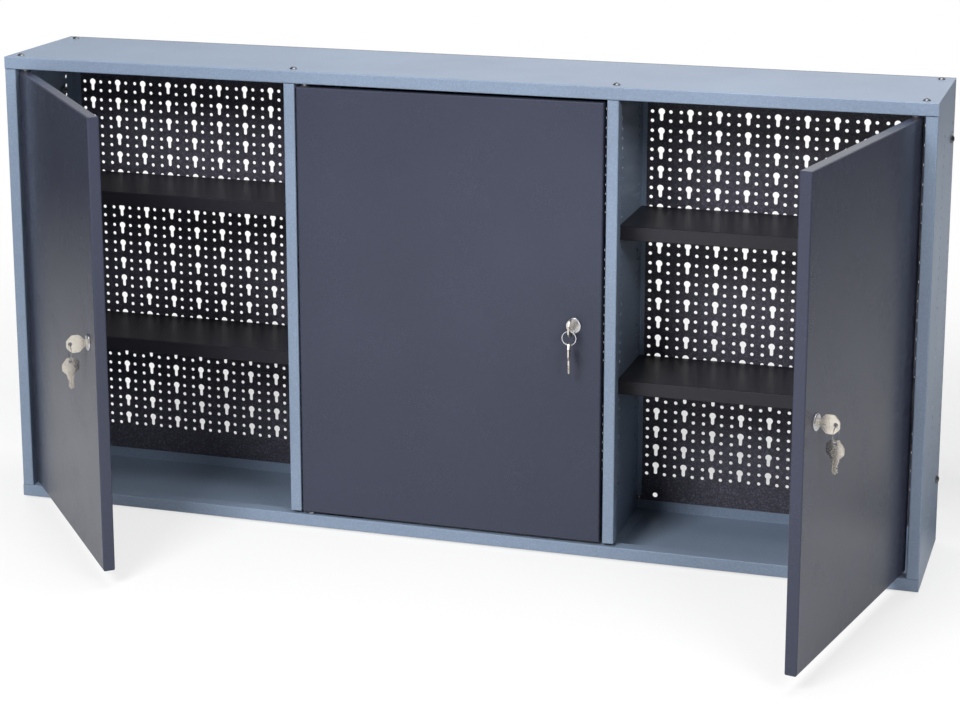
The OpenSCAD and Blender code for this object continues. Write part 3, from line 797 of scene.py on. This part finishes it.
def lock_body(side):
    """The lock's rim and threaded body, with its nut, cam screw and the eased core and cam."""
    place = lock_place(side)
    body = turned([(5.55, -0.75), (6.55, -0.75), (6.55, -1.85), (6.75, -2.0), (8.7, -2.0), (9.3, -1.86),
                   (9.8, -1.45), (10, -0.9), (10, -0.15), (9.85, 0), (8, 0), (8, 0.8), (7.55, 1.2),
                   (7.55, 15.6), (7.2, 16), (5.55, 16)], 56)
    ridge = moved(wound(*RIDGE_WIRE, "lock_chrome"), shift(0, 0, RIDGE_FROM))
    body = joined(smoothed(body), ridge)
    piece_of(side + "_lock_housing_threaded", set_in(smoothed(body), place @ BACKWARDS), "lock_chrome",
             side + "_door", side + "_lock_housing")
    nut = hexagon_nut(*LOCK_NUT)
    piece_of(side + "_lock_nut_chamfered", set_in(nut, place @ shift(0, SHEET, 0) @ BACKWARDS), "zinc_steel",
             side + "_door", side + "_lock_nut")
    cam_body = node_body(side + "_lock_cam")
    screw = set_in(cross_screw(*CAM_SCREW), place @ shift(0, CAM_SCREW_IN, 0) @ BACKWARDS)
    piece_of(side + "_cam_screw_crossed", screw, "zinc_steel", cam_body, side + "_cam_screw")
    eased(side + "_lock_core", CORE_EASE)
    eased(side + "_lock_cam", CAM_EASE)


def key_cutters():
    """Grooves along both sides of a blade and a sunk round on both sides of a bow, in a key's own frame."""
    for face in (-1, 1):
        low, high = sorted((face * CUT_OUT, face * GROOVE_LEFT))
        yield slab((BLADE_AT - 2, GROOVE_SPAN[0], low), (BLADE_AT + BLADE_L + 1, GROOVE_SPAN[1], high))
        low, high = sorted((face * CUT_OUT, face * ROUND_LEFT))
        sunk = turned([(0, low), (ROUND_R, low), (ROUND_R, high), (0, high)], 40)
        yield moved(sunk, shift(BOW_CENTRE + ROUND_ASIDE, 0, 0))


def keys(side):
    """The key in the lock, the split ring through its bow and the spare key."""
    lock = lock_place(side)
    hang = Matrix.Rotation(math.radians(SPARE_TURN), 4, "Z") @ Matrix.Rotation(math.radians(-90), 4, "X")
    places = {
        side + "_key": lock @ shift(0, -KEY_HOLE_OUT, 0) @ EDGEWISE,
        side + "_spare_key": lock @ shift(0, -KEY_HOLE_OUT, -SPARE_DROP) @ hang @ EDGEWISE,
    }
    for node, place in places.items():
        key = as_mesh(merged(node))
        for cutter in key_cutters():
            key = carved(key, set_in(cutter, place))
        piece_of(node + "_milled", bevelled(key, KEY_EASE), "key_nickel", node_body(node), node)
    ring = moved(wound(*RING_WIRE, "lock_chrome"), shift(0, 0, -RING_WIRE[1] * RING_WIRE[2] / 2))
    ring = set_in(ring, lock @ shift(0, -KEY_HOLE_OUT, -RING_DROP) @ Matrix.Rotation(math.radians(90), 4, "X"))
    node = side + "_key_ring"
    piece_of(node + "_split", ring, "lock_chrome", node_body(node), node)


def light_path_masks(tree):
    """1 for rays that look straight at the background, and 1 for those that come by way of gloss or glass."""
    path = tree.tree.nodes.new("ShaderNodeLightPath")
    rays = ("Is Camera Ray", "Is Glossy Ray", "Is Transmission Ray")
    camera_ray, glossy, through = (Value(tree.tree, path.outputs[ray]) for ray in rays)
    return camera_ray, (glossy + through).clipped()


def pale_floor():
    """A floor that keeps the object's shadow and goes over into white; gloss sees it end at the sides, and sees a
    painted shadow, near-black, behind the cabinet.
    """
    floor_z = cad_box[0].z
    mesh = bpy.data.meshes.new("floor")
    mesh.from_pydata([(x, y, floor_z) for x, y in ((-FLOOR_REACH, -FLOOR_REACH), (FLOOR_REACH, -FLOOR_REACH),
                                                   (FLOOR_REACH, FLOOR_REACH), (-FLOOR_REACH, FLOOR_REACH))],
                     [], [(0, 1, 2, 3)])
    floor = loose_object("floor", mesh)
    material, tree = new_material("pale floor")
    place = tree.add("ShaderNodeTexCoord", output="Object")
    away = tree.add("ShaderNodeVectorMath", {"operation": "LENGTH"}, {0: place}, output="Value")
    across, back = tree.axes(place, 2)
    aside = across.math("ABSOLUTE", across)
    behind = back.band(0.0, 0.25) * (1 - back.band(0.3, 1.5)) * (1 - aside.band(0.7, 1.5))
    # Painted shade in reflections: behind the cabinet, gloss sees a near-black floor in place of the lit one
    gloss_shade_behind = back.band(-0.05, 0.05) * (1 - back.band(2.0, 3.5)) * (1 - aside.band(0.6, 0.9))
    sweep = (1 - aside.band(0.7, 2.2)) * (1 - gloss_shade_behind)
    camera_ray, reflected = light_path_masks(tree)
    seen = camera_ray * (0.7 + away.band(0.7, 1.8) * 0.3) * (1 - behind * 0.85)
    diffuse = tree.add("ShaderNodeBsdfDiffuse", inputs={"Color": FLOOR_GREY})
    glow = tree.add("ShaderNodeEmission", inputs={"Color": WHITE, "Strength": 1.0})
    dusk = tree.add("ShaderNodeEmission", inputs={"Color": WHITE, "Strength": 0.03})
    mirrored = tree.blend(sweep, dusk, tree.blend(0.15, diffuse, glow))
    finish = tree.blend(reflected, tree.blend(seen, diffuse, glow), mirrored)
    tree.add("ShaderNodeOutputMaterial", inputs={"Surface": finish})
    mesh.materials.append(material)
    floor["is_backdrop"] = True


def white_sweep():
    """A dim studio that the camera sees as white, and gloss too straight ahead and behind."""
    world = bpy.data.worlds.new("studio")
    bpy.context.scene.world = world
    world.use_nodes = True
    tree = Tree(world.node_tree)
    camera_ray, reflected = light_path_masks(tree)
    across, = tree.axes(tree.add("ShaderNodeTexCoord", output="Generated"), 1)
    sweep = 1 - across.math("ABSOLUTE", across).band(0.28, 0.6)
    dim = tree.add("ShaderNodeBackground", inputs={"Color": ROOM_BLUE, "Strength": ROOM_LIGHT})
    white = tree.add("ShaderNodeBackground", inputs={"Color": WHITE, "Strength": 1.0})
    finish = tree.blend(camera_ray + reflected * sweep, dim, white)
    tree.add("ShaderNodeOutputWorld", inputs={"Surface": finish})


def lights():
    """Stands the softboxes around the cabinet and aims them at it."""
    for name, (place, width, height, power, mirrored) in SOFTBOXES.items():
        lamp = bpy.data.lights.new(name, "AREA")
        lamp.shape = "RECTANGLE"
        lamp.size = width
        lamp.size_y = height
        lamp.energy = power
        holder = bpy.data.objects.new(name, lamp)
        holder.visible_glossy = mirrored
        holder.location = place
        holder.rotation_euler = (LAMPS_AIM - place).to_track_quat("-Z", "Y").to_euler()
        bpy.context.scene.collection.objects.link(holder)


def camera():
    lens = bpy.data.cameras.new("camera")
    lens.lens = CAMERA_LENS
    lens.sensor_width = 36.0
    lens.shift_y = CAMERA_SHIFT
    holder = bpy.data.objects.new("camera", lens)
    holder.location = CAMERA_PLACE
    holder.rotation_euler = (math.pi / 2 - CAMERA_TILT, 0.0, CAMERA_TURN)
    bpy.context.scene.collection.objects.link(holder)
    bpy.context.scene.camera = holder


camera()
lights()
pale_floor()
white_sweep()
dress_frame()
frame_fasteners()
buffers()
eased("shelf_clips", CLIP_EASE)
for side in SIDES:
    eased(side + "_hinge_pins", PIN_EASE)
    eased(side + "_hinge_bushes", BUSH_EASE)
    spot_welds(side)
    lock_body(side)
    keys(side)
bpy.context.scene.view_settings.view_transform = "Standard"

dressed_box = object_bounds()
[list(corner) for corner in (*cad_box, *dressed_box)]
